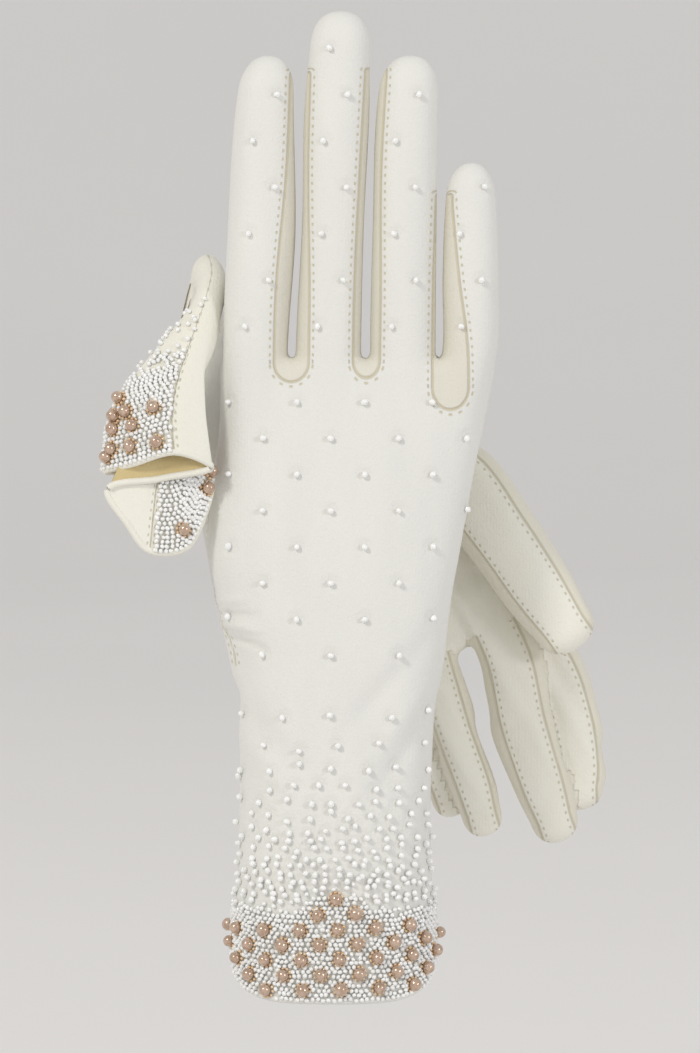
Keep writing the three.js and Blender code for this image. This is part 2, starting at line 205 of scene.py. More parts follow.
def glass(name, colour, deep, rough, metal, coat):
    """A glass or lacquered bead: smooth, with a hard highlight and a tone that varies from bead to bead."""
    material, tree, shader = new_material(name)
    place = node(tree, "ShaderNodeTexCoord").outputs["Object"]
    in_mm = node(
        tree, "ShaderNodeVectorMath", {0: place, 1: (1000, 1000, 1000)}, operation="MULTIPLY"
    ).outputs[0]
    tone = node(tree, "ShaderNodeTexNoise", {"Vector": in_mm, "Scale": 0.7, "Detail": 1}).outputs["Fac"]
    spread = node(tree, "ShaderNodeMapRange", {0: tone, 1: 0.3, 2: 0.7}).outputs[0]
    mixed = node(
        tree, "ShaderNodeMix", {0: spread, 6: srgb(deep), 7: srgb(colour)}, data_type="RGBA"
    ).outputs[2]
    tree.links.new(mixed, shader.inputs["Base Color"])
    dust = node(tree, "ShaderNodeMapRange", {0: tone, 3: rough, 4: rough + 0.1}).outputs[0]
    tree.links.new(dust, shader.inputs["Roughness"])
    shader.inputs["IOR"].default_value = 1.5
    shader.inputs["Metallic"].default_value = metal
    shader.inputs["Coat Weight"].default_value = coat
    shader.inputs["Coat Roughness"].default_value = 0.06
    shader.inputs["Subsurface Weight"].default_value = 0.3 if metal == 0 else 0.0
    shader.inputs["Subsurface Radius"].default_value = (1.0, 1.0, 1.0)
    shader.inputs["Subsurface Scale"].default_value = 0.0004
    return material


# opaque white glass seed beads: a milky body under a bright highlight
WHITE_GLASS = glass("white_glass_seed_bead", "#fdfdfc", "#f1f1ef", 0.18, 0.0, 0.4)
# bronze imitation pearls: glass dipped in metallic lacquer, dark at the rim and white at the highlight
BRONZE = glass("bronze_pearl_lacquer", "#d6bca8", "#b79a84", 0.16, 0.55, 1.0)
# seed beads, one ring round the foot of each pearl, tinted gold as a painted reflection of the pearl in their
# clear glass
PEARL_REFLECTION = glass("seed_bead_tinted_with_painted_pearl_reflection", "#f5dcba", "#e8bf90", 0.18, 0.1, 0.5)


# ---- distance fields ---------------------------------------------------------------------------
def curve(*points):
    """A smooth function through (place, value) pairs."""
    at, value = np.array(points, float).T
    slope = np.gradient(value, at)

    def read(x):
        x = np.clip(x, at[0], at[-1])
        i = np.clip(np.searchsorted(at, x) - 1, 0, len(at) - 2)
        h = at[i + 1] - at[i]
        t = (x - at[i]) / h
        return (
            (2 * t**3 - 3 * t**2 + 1) * value[i]
            + (t**3 - 2 * t**2 + t) * h * slope[i]
            + (3 * t**2 - 2 * t**3) * value[i + 1]
            + (t**3 - t**2) * h * slope[i + 1]
        )

    return read


def oval(across, deep, width, depth, power, beyond=0.0, dome=1.0):
    """Distance to a rounded section of half width and half depth, with a dome beyond its end."""
    a, b, c = np.abs(across) / width, np.abs(deep) / depth, np.maximum(beyond, 0) / dome
    total = np.maximum(a**power + b**power + c**power, 1e-9)
    size = total ** (1 / power)
    pull = total ** (1 / power - 1)
    slope = pull * np.sqrt(
        (a ** (power - 1) / width) ** 2 + (b ** (power - 1) / depth) ** 2 + (c ** (power - 1) / dome) ** 2
    )
    return (size - 1) / np.maximum(slope, 1e-4)


def merge(a, b, soft):
    """Union of two fields with a fillet of that size."""
    h = np.clip(0.5 + 0.5 * (b - a) / soft, 0, 1)
    return b + (a - b) * h - soft * h * (1 - h)


def common(a, b, soft):
    return -merge(-a, -b, soft)


class Sweep:
    """A tube along a smooth path, with its own frame, half sizes and domed ends.

    Each station is (centre, width direction, half width, half depth).
    """

    def __init__(self, stations, power, dome, steps=10):
        count = (len(stations) - 1) * steps + 1
        t = np.arange(len(stations))
        fine = np.linspace(0, len(stations) - 1, count)

        def along(rows):
            rows = np.array(rows, float)
            return np.stack([curve(*zip(t, rows[:, k]))(fine) for k in range(rows.shape[1])], -1)

        self.centre = along([s[0] for s in stations])
        self.tangent = np.gradient(self.centre, axis=0)
        self.tangent /= np.linalg.norm(self.tangent, axis=1, keepdims=True)
        side = along([s[1] for s in stations])
        side -= (side * self.tangent).sum(1, keepdims=True) * self.tangent
        self.side = side / np.linalg.norm(side, axis=1, keepdims=True)
        self.deep = np.cross(self.tangent, self.side)
        sizes = along([s[2:4] for s in stations])
        self.width, self.depth = sizes[:, 0], sizes[:, 1]
        self.reach = np.concatenate([[0], np.cumsum(np.linalg.norm(np.diff(self.centre, axis=0), axis=1))])
        self.power, self.dome = power, dome

    def local(self, points):
        """(distance along, across, deep, beyond either end, half width, half depth) of each point."""
        nearest = np.empty(len(points), int)
        for k in range(0, len(points), 60000):
            part = points[k : k + 60000]
            gap = (part**2).sum(1)[:, None] - 2 * part @ self.centre.T + (self.centre**2).sum(1)[None]
            nearest[k : k + 60000] = gap.argmin(1)
        r = points - self.centre[nearest]
        t = (r * self.tangent[nearest]).sum(1)
        last = len(self.centre) - 1
        beyond = np.where(nearest == last, t, np.where(nearest == 0, -t, 0.0))
        reach = self.reach[nearest] + t
        width = np.interp(reach, self.reach, self.width)
        depth = np.interp(reach, self.reach, self.depth)
        return reach, (r * self.side[nearest]).sum(1), (r * self.deep[nearest]).sum(1), beyond, width, depth

    def __call__(self, points):
        _, u, v, beyond, width, depth = self.local(points)
        return oval(u, v, width, depth, self.power, beyond, self.dome)


def gradient(field, points, step=0.05):
    g = np.empty_like(points)
    for k in range(3):
        shift = np.zeros(3)
        shift[k] = step
        g[:, k] = (field(points + shift) - field(points - shift)) / (2 * step)
    return g


def settle(field, points, rounds=3):
    """Moves points onto the field's surface and returns them with their outward normals."""
    points = points.copy()
    for _ in range(rounds):
        g = gradient(field, points)
        length2 = np.maximum((g**2).sum(1), 1e-4)
        move = -(field(points) / length2)[:, None] * g
        size = np.linalg.norm(move, axis=1, keepdims=True)
        points += move * np.minimum(1, CELL / np.maximum(size, 1e-9))
    g = gradient(field, points)
    return points, g / np.maximum(np.linalg.norm(g, axis=1, keepdims=True), 1e-9)


def skin(field, low, high, cell=CELL):
    """The field's surface as points and four-cornered faces: one point in each cell that it crosses."""
    axes = [np.arange(low[k], high[k] + cell, cell) for k in range(3)]
    grid = np.stack(np.meshgrid(*axes, indexing="ij"), -1)
    value = field(grid.reshape(-1, 3)).reshape(grid.shape[:3])
    inside = value < 0
    cells = np.array(value.shape) - 1
    count = np.zeros(cells)
    total = np.zeros((*cells, 3))
    crossings = []
    for axis in range(3):
        head = [slice(None)] * 3
        tail = [slice(None)] * 3
        head[axis], tail[axis] = slice(1, None), slice(None, -1)
        a, b = value[tuple(tail)], value[tuple(head)]
        cross = inside[tuple(tail)] != inside[tuple(head)]
        share = np.where(cross, a / np.where(cross, a - b, 1), 0)
        place = grid[tuple(tail)].copy()
        place[..., axis] += share * cell
        others = [k for k in range(3) if k != axis]
        for i in (0, 1):
            for j in (0, 1):
                part = [slice(None)] * 3
                part[others[0]] = slice(i, cells[others[0]] + i)
                part[others[1]] = slice(j, cells[others[1]] + j)
                hit = cross[tuple(part)]
                count += hit
                total += place[tuple(part)] * hit[..., None]
        crossings.append((axis, others, cross, inside[tuple(tail)]))
    used = count > 0
    number = np.full(cells, -1)
    number[used] = np.arange(used.sum())
    points = total[used] / count[used][:, None]
    faces = []
    for axis, others, cross, tail_inside in crossings:
        where = np.argwhere(cross)
        keep = np.all([(where[:, k] > 0) & (where[:, k] < cells[k]) for k in others], axis=0)
        where = where[keep]
        u, v = np.eye(3, dtype=int)[others[0]], np.eye(3, dtype=int)[others[1]]
        ring = np.stack([number[tuple((where - s).T)] for s in (u + v, v, 0 * u, u)], 1)
        outward = tail_inside[tuple(where.T)]
        if axis == 1:
            outward = ~outward
        ring[~outward] = ring[~outward][:, ::-1]
        faces.append(ring)
    return points, np.concatenate(faces)


# ---- meshes ------------------------------------------------------------------------------------
def make_mesh(name, points, faces, material, normals=None, numbers=None, slots=None):
    """A Blender object from points in millimetres. Faces are rows of 3 or 4 corners."""
    mesh = bpy.data.meshes.new(name)
    mesh.from_pydata((points * MM).tolist(), [], [list(dict.fromkeys(map(int, f))) for f in faces])
    for each in material if isinstance(material, (list, tuple)) else [material]:
        mesh.materials.append(each)
    if slots is not None:
        mesh.polygons.foreach_set("material_index", np.asarray(slots, dtype=np.int32))
    mesh.polygons.foreach_set("use_smooth", [True] * len(mesh.polygons))
    for key, values in (numbers or {}).items():
        mesh.attributes.new(key, "FLOAT", "POINT").data.foreach_set(
            "value", np.asarray(values, dtype=np.float32)
        )
    mesh.update()
    if normals is not None:
        mesh.normals_split_custom_set_from_vertices(normals.tolist())
    made = bpy.data.objects.new(name, mesh)
    bpy.context.scene.collection.objects.link(made)
    return made


def keep_faces(points, faces, *arrays):
    """Drops the points that no face uses."""
    used = np.unique(faces)
    number = np.full(len(points), -1)
    number[used] = np.arange(len(used))
    return [points[used], number[faces]] + [a[used] for a in arrays]


def borders(faces):
    """Edges with one face only, each as (from, to) in its face's direction."""
    sides = np.concatenate(
        [np.stack([faces[:, k], faces[:, (k + 1) % faces.shape[1]]], 1) for k in range(faces.shape[1])]
    )
    sides = sides[sides[:, 0] != sides[:, 1]]
    key = np.sort(sides, 1)
    _, first, count = np.unique(key, axis=0, return_index=True, return_counts=True)
    return sides[first[count == 1]]


def in_order(edges):
    """The corners of one closed border, in the order of its edges."""
    following = {int(a): int(b) for a, b in edges}
    start = min(following)
    loop = [start]
    while following[loop[-1]] != start:
        loop.append(following[loop[-1]])
    return np.array(loop)


def cloth_piece(name, points, faces, normals, numbers, material, shaded_inside, thick=CLOTH):
    """A skin with its inner side and the turned edge between them."""
    n = len(points)
    edge = borders(faces)
    rim = np.stack([edge[:, 1], edge[:, 0], edge[:, 0] + n, edge[:, 1] + n], 1)
    every = np.concatenate([faces, faces[:, ::-1] + n, rim])
    both = np.concatenate([points, points - normals * thick])
    facing = np.concatenate([normals, -normals])
    doubled = {
        key: np.concatenate([value, np.full(n, FAR) if key == "seam" else value])
        for key, value in numbers.items()
    }
    # the inner side takes the second material, which is painted shade
    slots = np.concatenate([np.zeros(len(faces)), np.ones(len(faces)), np.zeros(len(rim))])
    return make_mesh(name, both, every, [material, shaded_inside], facing, doubled, slots)


# ---- the right glove's shape -------------------------------------------------------------------
HEM_RISE = 15  # how much higher the hem is at the sides and palm than at the back of the wrist
WEB = 172.5  # height of the webs between the fingers
hand_middle = curve(
    (-6, 0.9), (40, 1.2), (60, 1.4), (81, 2.2), (93, 3.0), (103, 1.5), (109, 1.1), (119, 0.9), (130, 2.0),
    (143, 3.9), (157, 6.4), (170, 7.4), (180, 7.6),
)
hand_width = curve(
    (-6, 28.2), (10, 27.5), (40, 26.3), (60, 26.2), (81, 27.0), (93, 28.3), (103, 30.9), (109, 32.1),
    (119, 34.1), (130, 34.9), (143, 35.4), (157, 35.8), (170, 36.6), (180, 36.8),
)
hand_depth = curve(
    (-6, 21.2), (20, 20.4), (40, 19.6), (60, 19.1), (81, 18.7), (95, 18.1), (108, 17.3), (119, 16.3),
    (130, 15.2), (143, 13.6), (157, 11.4), (170, 9.2), (180, 8.6),
)
HAND_POWER = 2.3

right_fingers = {
    "right_index": dict(
        middle=curve((145, -20.4), (175, -20.4), (208, -18.5), (240, -17.7), (252, -16.9)),
        width=curve((145, 8.6), (175, 8.8), (208, 9.2), (240, 7.9), (252, 7.0)),
        depth=curve((145, 9.0), (175, 9.6), (208, 9.2), (240, 8.2), (254, 7.2)),
        tip=254.6,
    ),
    "right_middle": dict(
        middle=curve((145, -0.4), (175, -0.4), (210, 0.8), (240, 1.8), (260, 2.9)),
        width=curve((145, 8.7), (175, 8.8), (210, 8.4), (240, 8.8), (260, 8.0)),
        depth=curve((145, 9.4), (175, 10.0), (210, 9.5), (245, 8.6), (262, 7.4)),
        tip=266.6,
    ),
    "right_ring": dict(
        middle=curve((145, 19.8), (175, 19.8), (210, 20.2), (240, 20.9), (252, 21.6)),
        width=curve((145, 8.9), (175, 8.9), (210, 8.6), (240, 8.2), (252, 7.6)),
        depth=curve((145, 9.0), (175, 9.6), (210, 9.2), (240, 8.2), (254, 7.2)),
        tip=254.6,
    ),
    "right_little": dict(
        middle=curve((140, 29.5), (158, 33.8), (174, 37.7), (194, 38.1), (212, 38.2), (224, 38.4)),
        width=curve((140, 6.4), (160, 7.0), (174, 7.4), (194, 7.6), (212, 7.0), (224, 6.2)),
        depth=curve((140, 7.2), (165, 8.2), (194, 8.0), (212, 7.2), (225, 6.4)),
        tip=225.6,
    ),
}
TIP_DOME = 9.5
right_thumb = Sweep(
    [
        ((-18, 4, 90), (1, 0.3, 0), 9.0, 8.6),
        ((-23, 9.5, 115), (1, 0.3, 0), 9.8, 9.0),
        ((-29, 15, 143), (1, 0.3, 0), 9.2, 8.4),
        ((-33.8, 19.6, 163), (1, 0.3, 0), 8.6, 7.6),
        ((-35.6, 21.6, 173), (1, 0.3, 0), 7.6, 6.8),
    ],
    2.2,
    8.0,
)


def finger_field(p, finger):
    x, y, z = p.T
    beyond = z - (finger["tip"] - TIP_DOME)
    return oval(x - finger["middle"](z), y, finger["width"](z), finger["depth"](z), 2.25, beyond, TIP_DOME)


# soft folds of the worn cloth: (x, z) of both ends, depth, half width; below zero it stands up
FOLDS = [
    ((27, 98), (4, 72), 0.9, 3.2),
    ((29, 88), (9, 62), -0.6, 3.0),
    ((29, 79), (12, 55), 0.6, 2.6),
    ((-28, 84), (-8, 62), 0.45, 3.0),
    ((-27, 74), (-9, 54), -0.4, 2.6),
    ((-12, 112), (16, 92), 0.35, 5.0),
    ((-27, 97), (-18, 95), 0.8, 1.1),
    ((-29, 100.5), (-19, 99.5), -0.7, 1.1),
    ((-30, 103.5), (-20, 103.5), 0.7, 1.1),
    ((-31, 107), (-22, 108), -0.5, 1.2),
    ((33, 150), (20, 166), 0.3, 3.0),
]


def folds(p):
    x, y, z = p.T
    push = 0.10 * np.sin(x * 0.23 + 1.3 * np.sin(z * 0.041)) * np.sin(z * 0.06 + 0.7)
    for (x0, z0), (x1, z1), deep, wide in FOLDS:
        run = np.array([x1 - x0, z1 - z0], float)
        t = ((x - x0) * run[0] + (z - z0) * run[1]) / (run @ run)
        inside = np.clip(t, 0, 1)
        gap2 = (x - x0 - inside * run[0]) ** 2 + (z - z0 - inside * run[1]) ** 2
        strength = 0.35 + 0.65 * np.sin(np.pi * np.clip(inside, 0.02, 0.98))
        push = push - deep * np.exp(-gap2 / wide**2) * strength
    return push


def right_field(p):
    x, y, z = p.T
    hand = oval(x - hand_middle(z), y, hand_width(z), hand_depth(z), HAND_POWER)
    hand = common(hand, z - WEB, 5.0)
    d = merge(hand, right_thumb(p), 4.0)
    stalls = np.full(len(p), 50.0)
    for finger in right_fingers.values():
        stalls = merge(stalls, np.maximum(finger_field(p, finger), 140 - z), 0.5)
    return merge(d, stalls, 2.2) - folds(p)


def hem_height(points):
    """Height of the right hem at each point: low at the back of the wrist and high at the palm."""
    x, y, z = points.T
    a, b = (x - hand_middle(0)) / hand_width(0), y / hand_depth(0)
    front = np.maximum(0, -b) / np.maximum(np.hypot(a, b), 1e-6)
    return HEM_RISE * (1 - front) ** 2


# ---- seams and sewn beads of the right glove ---------------------------------------------------
# a crotch: the lines of its two fourchette seams, the height where they turn and how far they drop
CROTCHES = [
    dict(
        left=curve((160, -15.2), (190, -14.6), (225, -11.6), (250, -10.6)),
        right=curve((160, -6.0), (190, -5.6), (225, -6.0), (250, -5.4)), turn=171.5, drop=5.0, top=250,
    ),
    dict(
        left=curve((160, 6.2), (190, 6.6), (225, 8.2), (250, 9.6)),
        right=curve((160, 13.2), (190, 13.6), (225, 13.8), (250, 15.2)), turn=172.0, drop=4.4, top=251,
    ),
    dict(
        left=curve((160, 27.6), (190, 27.9), (225, 29.0), (250, 29.6)),
        right=curve((160, 37.6), (176, 37.2), (195, 34.8), (214, 33.0)), turn=165.0, drop=6.0, top=217,
    ),
]


def right_seams(points):
    """Distance in millimetres to the nearest seam, and the way along it."""
    x, y, z = points.T
    best = np.full(len(points), 9.0)
    along = z.copy()
    for crotch in CROTCHES:
        left, right = crotch["left"](z), crotch["right"](z)
        half, middle = (right - left) / 2, (right + left) / 2
        below = np.minimum(z - crotch["turn"], 0) * half / crotch["drop"]
        above = np.maximum(z - crotch["top"], 0)
        inner = np.hypot(x - middle, below) - half
        gap = np.where(above > 0, np.hypot(inner, above), inner)
        nearer = np.abs(gap) < np.abs(best)
        best = np.where(nearer, gap, best)
        along = np.where(nearer & (below < 0), np.arctan2(x - middle, -below) * half, along)
    side = np.where((x > 20) & (z < 170), np.abs(y - 1.0), 9.0)
    thumb, hand = right_thumb(points), oval(x - hand_middle(z), y, hand_width(z), hand_depth(z), HAND_POWER)
    gusset = np.where((z > 88) & (np.minimum(thumb, hand) > -3), np.abs(thumb - hand) * 0.8, 9.0)
    for gap in (side, gusset):
        best = np.where(gap < np.abs(best), gap, best)
    return best, along


def drop_to(field, x, z):
    """Points where lines along Y first meet the surface, with their normals. Lines that miss are left out."""
    y = np.full(len(x), IN_FRONT)
    for _ in range(70):
        y += np.clip(field(np.stack([x, y, z], -1)), -1, 4) * 0.85
    points = np.stack([x, y, z], -1)
    met = (np.abs(field(points)) < 0.05) & (np.abs(y) < 60)
    g = gradient(field, points[met])
    return points[met], g / np.linalg.norm(g, axis=1, keepdims=True)


def quincunx(across, up, low, high, pitch_x, pitch_z, origin):
    """Rows of places, each row set off by half a pitch."""
    places = []
    row = math.ceil((low - origin[1]) / pitch_z)
    while origin[1] + row * pitch_z <= high:
        z = origin[1] + row * pitch_z
        shift = origin[0] + (row % 2) * pitch_x / 2
        first = math.ceil((across - shift) / pitch_x)
        last = math.floor((up - shift) / pitch_x)
        places += [(shift + k * pitch_x, z) for k in range(first, last + 1)]
        row += 1
    return places


def right_drops():
    """Seed beads sewn one by one: even rows on the hand, closer near the cuff, and zigzags on the fingers."""
    rng = np.random.default_rng(7)
    places = quincunx(-45, 45, 84, 163, 18.2, 9.7, (-8.9, 161.0))
    gap = curve((24, 2.3), (34, 3.1), (46, 4.6), (58, 7.0), (70, 10.5), (84, 15.0))
    z = 77.0
    while z > 24:
        spacing = float(gap(z))
        count = int(64 / spacing)
        slide = rng.uniform(0, 1)
        row = [((k - count / 2 + slide) * spacing, z) for k in range(count + 1)]
        places += [tuple(np.array(each) + rng.normal(0, 0.13 * spacing, 2)) for each in row]
        z -= spacing * 0.62
    places = np.array(places)
    fingers = []
    for name, finger in right_fingers.items():
        step = 12.5
        z = np.arange(WEB + 9, finger["tip"] - 4, step)
        side = np.where(np.arange(len(z)) % 2, 1, -1) * 2.8
        fingers.append((name, finger["middle"](z) + side + rng.normal(0, 0.3, len(z)), z))
    return places, fingers


# ---- the right glove's cloth -------------------------------------------------------------------
KNUCKLE_CUT = 174.0
THUMB_CUT = 153.0


def right_cloth():
    points, faces = skin(right_field, (-48, -27, -4), (50, 34, 270))
    points, normals = settle(right_field, points)
    lift = hem_height(points)
    centre = points[faces].mean(1)
    keep = centre[:, 2] > hem_height(centre) - CELL * 0.2
    points, faces, normals, lift = keep_faces(points, faces[keep], normals, lift)
    rim = np.unique(borders(faces))
    points[rim, 2] = lift[rim]
    seam, along = right_seams(points)
    return points, faces, normals, seam, along


points, faces, normals, seam, along = right_cloth()
hand_places, finger_places = right_drops()
drops, drop_normals = drop_to(right_field, *hand_places.T)


def nearest_gap(points, others):
    """Distance from each point to the nearest of the others, up to FAR."""
    best = np.full(len(points), FAR)
    for k in range(0, len(others), 200):
        part = others[k : k + 200]
        gap = (points**2).sum(1)[:, None] - 2 * points @ part.T + (part**2).sum(1)[None]
        best = np.minimum(best, np.sqrt(np.maximum(gap.min(1), 0)))
    return best


finger_drops = {}
for name, x, z in finger_places:
    finger_drops[name] = drop_to(right_field, x, z)
every_drop = np.concatenate([drops] + [found[0] for found in finger_drops.values()])
thin = every_drop[every_drop[:, 2] > 40]
sewn = nearest_gap(points, thin)

centre = points[faces].mean(1)
fields = np.stack([finger_field(centre, finger) for finger in right_fingers.values()])
label = np.where(centre[:, 2] > KNUCKLE_CUT, fields.argmin(0), HAND_LABEL)
on_thumb = (right_thumb(centre) < fields.min(0)) & (centre[:, 0] < -22) & (centre[:, 1] > 8)
label = np.where(on_thumb & (centre[:, 2] > THUMB_CUT), THUMB_LABEL, label)
pieces = {"right_hand_cloth": HAND_LABEL, "right_thumb_cloth": THUMB_LABEL}
pieces.update({name + "_cloth": k for k, name in enumerate(right_fingers)})
right_pieces = {}
for name, number in pieces.items():
    part = keep_faces(points, faces[label == number], normals, seam, along, sewn)
    numbers = dict(seam=part[3], along=part[4], sewn=part[5])
    right_pieces[name] = cloth_piece(name, part[0], part[1], part[2], numbers, IVORY, INSIDE_SHADE)

hand = right_pieces["right_hand_cloth"]
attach(hand, "right_hand")
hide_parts("right_back_panel", "right_palm_panel", "right_hem_facing", "right_thumb_root")
cad_names = list(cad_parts)
for name in list(right_fingers) + ["right_thumb"]:
    piece = right_pieces[name + "_cloth"]
    middle = right_fingers[name]["middle"](KNUCKLE_CUT) if name in right_fingers else 0
    start = (middle * MM, 0, 0.175) if name in right_fingers else (-0.032, 0.017, 0.154)
    end = (middle * MM, 0, 0.192) if name in right_fingers else (-0.0352, 0.0205, 0.172)
    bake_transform(piece, "right_hand", name, start=start, end=end)
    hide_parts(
        *[cad for cad in cad_names if cad.startswith(name + "_") and cad != "right_thumb_root"]
    )


def hem_roll(name, line, ups, material, radius=0.95):
    """The turned and rolled edge of a hem: a round welt along a closed line of points."""
    count, sides = len(line), 8
    tangent = np.roll(line, -1, 0) - np.roll(line, 1, 0)
    tangent /= np.linalg.norm(tangent, axis=1, keepdims=True)
    out = ups - (ups * tangent).sum(1, keepdims=True) * tangent
    out /= np.linalg.norm(out, axis=1, keepdims=True)
    up = np.cross(tangent, out)
    turn = np.arange(sides) * 2 * np.pi / sides
    middle = line - ups * CLOTH / 2
    ring = out[:, None] * np.cos(turn)[None, :, None] + up[:, None] * np.sin(turn)[None, :, None]
    points = (middle[:, None] + ring * radius).reshape(-1, 3)
    i, k = np.meshgrid(np.arange(count), np.arange(sides), indexing="ij")
    i, k = i.ravel(), k.ravel()
    j, m = (i + 1) % count, (k + 1) % sides
    faces = np.stack([i * sides + k, j * sides + k, j * sides + m, i * sides + m], 1)
    a, b, c = (points[faces[:, q]] for q in range(3))
    outward = (np.cross(b - a, c - a) * ring.reshape(-1, 3)[faces[:, 0]]).sum() > 0
    faces = faces if outward else faces[:, ::-1]
    far = np.full(len(points), 9.0)
    return make_mesh(name, points, faces, material, ring.reshape(-1, 3), dict(seam=far, along=far, sewn=far))


rim = in_order(borders(faces))
roll = hem_roll("right_hem_roll", points[rim], normals[rim], IVORY)
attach(roll, "right_hand")


# ---- beads -------------------------------------------------------------------------------------
def bead_tree():
    """Sets a bead on every point, turned and sized by the point's own attributes."""
    tree = bpy.data.node_groups.new("sewn beads", "GeometryNodeTree")
    face = tree.interface
    face.new_socket("Geometry", in_out="INPUT", socket_type="NodeSocketGeometry")
    sockets = {}
    for key, kind in (
        ("Segments", "NodeSocketInt"), ("Rings", "NodeSocketInt"), ("Flatness", "NodeSocketFloat"),
        ("Finish", "NodeSocketMaterial"),
    ):
        sockets[key] = face.new_socket(key, in_out="INPUT", socket_type=kind).identifier
    face.new_socket("Geometry", in_out="OUTPUT", socket_type="NodeSocketGeometry")
    given = node(tree, "NodeGroupInput").outputs
    ball = node(
        tree, "GeometryNodeMeshUVSphere",
        {"Segments": given["Segments"], "Rings": given["Rings"], "Radius": 0.5},
    )
    size = node(tree, "ShaderNodeCombineXYZ", {0: 1.0, 1: 1.0, 2: given["Flatness"]}).outputs[0]
    flat = node(tree, "GeometryNodeTransform", {"Geometry": ball.outputs["Mesh"], "Scale": size}).outputs[0]
    turn = node(
        tree, "GeometryNodeInputNamedAttribute", {"Name": "turn"}, data_type="FLOAT_VECTOR"
    ).outputs[0]
    girth = node(tree, "GeometryNodeInputNamedAttribute", {"Name": "girth"}, data_type="FLOAT").outputs[0]
    turned = node(tree, "FunctionNodeEulerToRotation", {0: turn}).outputs[0]
    placed = node(
        tree,
        "GeometryNodeInstanceOnPoints",
        {"Points": given["Geometry"], "Instance": flat, "Rotation": turned, "Scale": girth},
    ).outputs[0]
    whole = node(tree, "GeometryNodeRealizeInstances", {"Geometry": placed}).outputs[0]
    smooth = node(tree, "GeometryNodeSetShadeSmooth", {"Geometry": whole}).outputs[0]
    finished = node(
        tree, "GeometryNodeSetMaterial", {"Geometry": smooth, "Material": given["Finish"]}
    ).outputs[0]
    node(tree, "NodeGroupOutput", {0: finished})
    return tree, sockets


BEAD_TREE, BEAD_SOCKETS = bead_tree()


def beads(name, points, normals, size, finish, segments=8, rings=5, flatness=0.82, lift=0.42, seed=1):
    """Beads of that diameter in millimetres, sewn onto a surface, as one plain mesh."""
    rng = np.random.default_rng(seed)
    count = len(points)
    mesh = bpy.data.meshes.new(name + "_places")
    mesh.from_pydata(((points + normals * size * lift) * MM).tolist(), [], [])
    # the thread's hole lies along the cloth
    aside = np.cross(normals, rng.normal(size=(count, 3)))
    aside /= np.maximum(np.linalg.norm(aside, axis=1, keepdims=True), 1e-9)
    turns = [Vector(a).to_track_quat("Z", "Y").to_euler() for a in aside]
    girths = size * MM * rng.normal(1, 0.05, count)
    mesh.attributes.new("turn", "FLOAT_VECTOR", "POINT").data.foreach_set(
        "vector", np.array(turns, float).ravel()
    )
    mesh.attributes.new("girth", "FLOAT", "POINT").data.foreach_set("value", girths)
    places = bpy.data.objects.new(name + "_places", mesh)
    bpy.context.scene.collection.objects.link(places)
    modifier = places.modifiers.new("beads", "NODES")
    modifier.node_group = BEAD_TREE
    modifier[BEAD_SOCKETS["Segments"]] = segments
    modifier[BEAD_SOCKETS["Rings"]] = rings
    modifier[BEAD_SOCKETS["Flatness"]] = flatness
    modifier[BEAD_SOCKETS["Finish"]] = finish
    seen = places.evaluated_get(bpy.context.evaluated_depsgraph_get())
    result = bpy.data.meshes.new_from_object(seen)
    places.modifiers.remove(modifier)
    bpy.data.objects.remove(places)
    for attribute in [a.name for a in result.attributes if a.name in ("turn", "girth")]:
        result.attributes.remove(result.attributes[attribute])
    made = bpy.data.objects.new(name, result)
    bpy.context.scene.collection.objects.link(made)
    return made


def wrist_point(way, height):
    """Points of the right cuff: the way round it from the middle of its back, and the height."""
    angle = np.linspace(-np.pi, np.pi, 721)
    c, s = np.sin(angle), -np.cos(angle)
    across = np.abs(c / hand_width(12)) ** HAND_POWER
    deep = np.abs(s / hand_depth(12)) ** HAND_POWER
    radius = (across + deep) ** (-1 / HAND_POWER)
    x, y = c * radius, s * radius
    run = np.concatenate([[0], np.cumsum(np.hypot(np.diff(x), np.diff(y)))])
    run -= run[-1] / 2
    start = np.stack([np.interp(way, run, x) + hand_middle(height), np.interp(way, run, y), height], -1)
    return settle(right_field, start, 3), run[-1]


def pearl_reflection_rings(points, normals, size):
    """Places for a ring of tiny beads round the foot of every pearl; their gold tint is a painted reflection
    of the pearl.
    """
    places, ups = [], []
    for p, n in zip(points, normals):
        u = np.cross(n, (0.2, 0.1, 1.0))
        u /= np.linalg.norm(u)
        v = np.cross(n, u)
        for a in np.arange(10) * 2 * math.pi / 10:
            places.append(p + (u * math.cos(a) + v * math.sin(a)) * size * 0.56)
            ups.append(n)
    return np.array(places), np.array(ups)


def lattice(first, second, apex, slope, shoulder, floor, reach):
    """Places of the pearls: a slanted lattice under a chevron's point, flattened at the sides."""
    places = []
    for i in range(-9, 12):
        for j in range(-9, 12):
            s = apex[0] + i * first[0] + j * second[0]
            z = apex[1] + i * first[1] + j * second[1]
            ceiling = max(apex[1] + 0.1 - slope * abs(s - apex[0]), shoulder)
            if z <= ceiling and abs(s) < reach and z > floor(s):
                places.append((s, z))
    return np.array(places)


